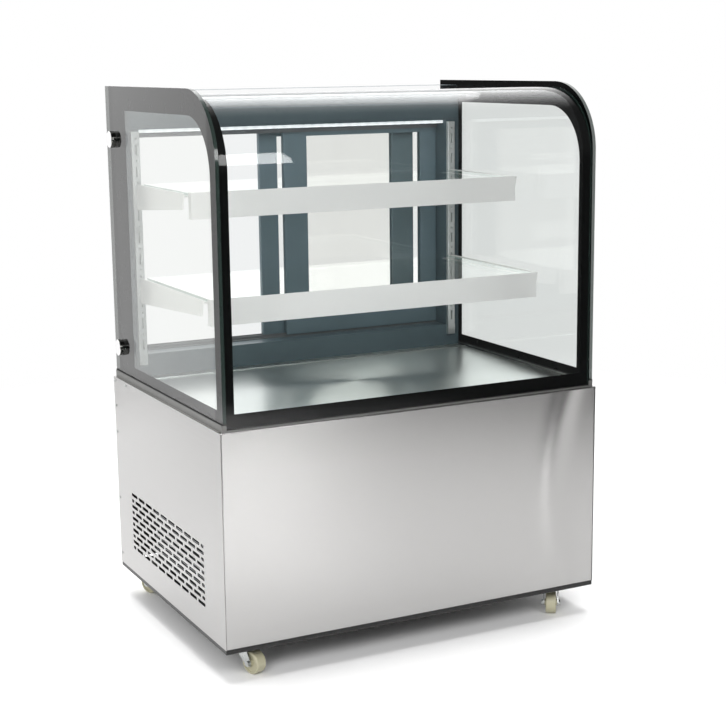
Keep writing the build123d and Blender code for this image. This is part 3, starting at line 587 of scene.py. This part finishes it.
def studio_floor():
    """A pale round floor that fades out at its rim."""
    made, tree = new_material("pale studio floor")
    place = add(tree, "TexCoord").outputs["Object"]
    reach = add(tree, "VectorMath", {0: place}, operation="LENGTH").outputs["Value"]
    fade = between(tree, reach, 0.0, 1.0, FADE_START, FADE_END)
    paper = stretched_noise(tree, even(40))
    card = add(tree, "BsdfPrincipled", {
        "Base Color": two_tones(tree, paper, "#F8F8F8", "#FBFBFB"),
        "Roughness": 0.7,
        "Specular IOR Level": 0.2,
    })
    empty = add(tree, "BsdfTransparent")
    mixed = add(tree, "MixShader", {0: fade, 1: card.outputs[0], 2: empty.outputs[0]})
    add(tree, "OutputMaterial", {"Surface": mixed.outputs[0]})
    shape = bmesh.new()
    bmesh.ops.create_circle(shape, cap_ends=True, segments=96, radius=FLOOR_RADIUS)
    mesh = bpy.data.meshes.new("studio floor")
    shape.to_mesh(mesh)
    shape.free()
    mesh.materials.append(made)
    floor = bpy.data.objects.new("studio floor", mesh)
    bpy.context.scene.collection.objects.link(floor)


studio_floor()


# ---- Light ----
def softbox(name, place, target, width, height, radiance, spread=180):
    """A rectangular lamp that faces a point and shows as an even panel of a given brightness.
    A grid over it narrows its spread, in degrees."""
    data = bpy.data.lights.new(name, "AREA")
    data.shape = "RECTANGLE"
    data.size = width
    data.size_y = height
    data.energy = radiance * 4 * width * height
    data.spread = math.radians(spread)
    lamp = bpy.data.objects.new(name, data)
    bpy.context.scene.collection.objects.link(lamp)
    away = Vector(place) - Vector(target)
    lamp.matrix_world = Matrix.Translation(place) @ away.to_track_quat("Z", "Y").to_matrix().to_4x4()


softbox("gridded top softbox", (0, 0, 3.6), (0, -0.001, 0), 6.0, 6.0, 0.4, 30)
softbox("overhead softbox", (0.2, 1.5, 2.9), (0, 0.6, 0.6), 2.8, 1.6, 1.2)
softbox("front streak softbox", (0.45, -2.6, 1.7), (-0.2, -0.2, 0.9), 0.6, 0.7, 5.5)
softbox("front left softbox", (-2.7, -2.6, 1.9), (0, -0.2, 0.6), 1.8, 1.8, 5.0)
softbox("high front softbox", (-0.7, -3.4, 2.9), (0, -0.5, 0.3), 2.2, 1.4, 3.5)
softbox("near floor light", (-0.05, -1.3, 0.8), (-0.05, -1.31, 0), 0.35, 0.8, 0.9, 60)
softbox("far floor light", (0.38, -2.35, 0.8), (0.38, -2.36, 0), 0.35, 0.8, 4.3, 60)
softbox("rear left panel", (-0.92, 1.45, 0.7), (-0.92, 0.0, 0.7), 0.42, 1.3, 0.3)


def surround():
    """Bright studio wall behind the case, dimmer room in front of it, white to the eye all round."""
    world = bpy.data.worlds.new("studio surround")
    bpy.context.scene.world = world
    world.use_nodes = True
    tree = world.node_tree
    tree.nodes.clear()
    way = add(tree, "TexCoord").outputs["Generated"]
    split = add(tree, "SeparateXYZ", {0: way}).outputs
    # brighter above the horizon than below it, and dim on the customer's side
    height = between(tree, split["Z"], 0.75, 1.6, -0.05, 0.15)
    depth = between(tree, split["Y"], 0.12, 1.0, 0.0, 0.45)
    wall = add(tree, "Math", {0: height, 1: depth}, operation="MULTIPLY").outputs[0]
    seen = add(tree, "LightPath").outputs["Is Camera Ray"]
    strength = add(tree, "Mix", {0: seen, 2: wall, 3: 1.0}, data_type="FLOAT").outputs[0]
    light = add(tree, "Background", {"Color": linear("#FFFFFF"), "Strength": strength})
    add(tree, "OutputWorld", {"Surface": light.outputs[0]})


surround()
scene = bpy.context.scene
scene.view_settings.view_transform = "Standard"
scene.cycles.transparent_max_bounces = 32
scene.cycles.max_bounces = 10


# ---- Camera ----
LENS_MM = 76.75
CAMERA_PLACE = (-1.5662, -3.1594, 1.2691)
YAW = 0.4699                # radians, from straight at the front towards the customer's right
PITCH = 0.1931              # downwards
ROLL = -0.0119


def camera():
    """Camera on the customer's left, looking slightly down."""
    data = bpy.data.cameras.new("studio camera")
    data.sensor_width = 36.0
    data.lens = LENS_MM
    ahead = Vector((
        math.sin(YAW) * math.cos(PITCH), math.cos(YAW) * math.cos(PITCH), -math.sin(PITCH),
    ))
    right = Vector((math.cos(YAW), -math.sin(YAW), 0))
    up = right.cross(ahead)
    right_rolled = math.cos(ROLL) * right + math.sin(ROLL) * up
    up_rolled = math.cos(ROLL) * up - math.sin(ROLL) * right
    turn = Matrix((right_rolled, up_rolled, -ahead)).transposed()
    made = bpy.data.objects.new("studio camera", data)
    made.matrix_world = Matrix.Translation(CAMERA_PLACE) @ turn.to_4x4()
    scene.collection.objects.link(made)
    scene.camera = made


camera()
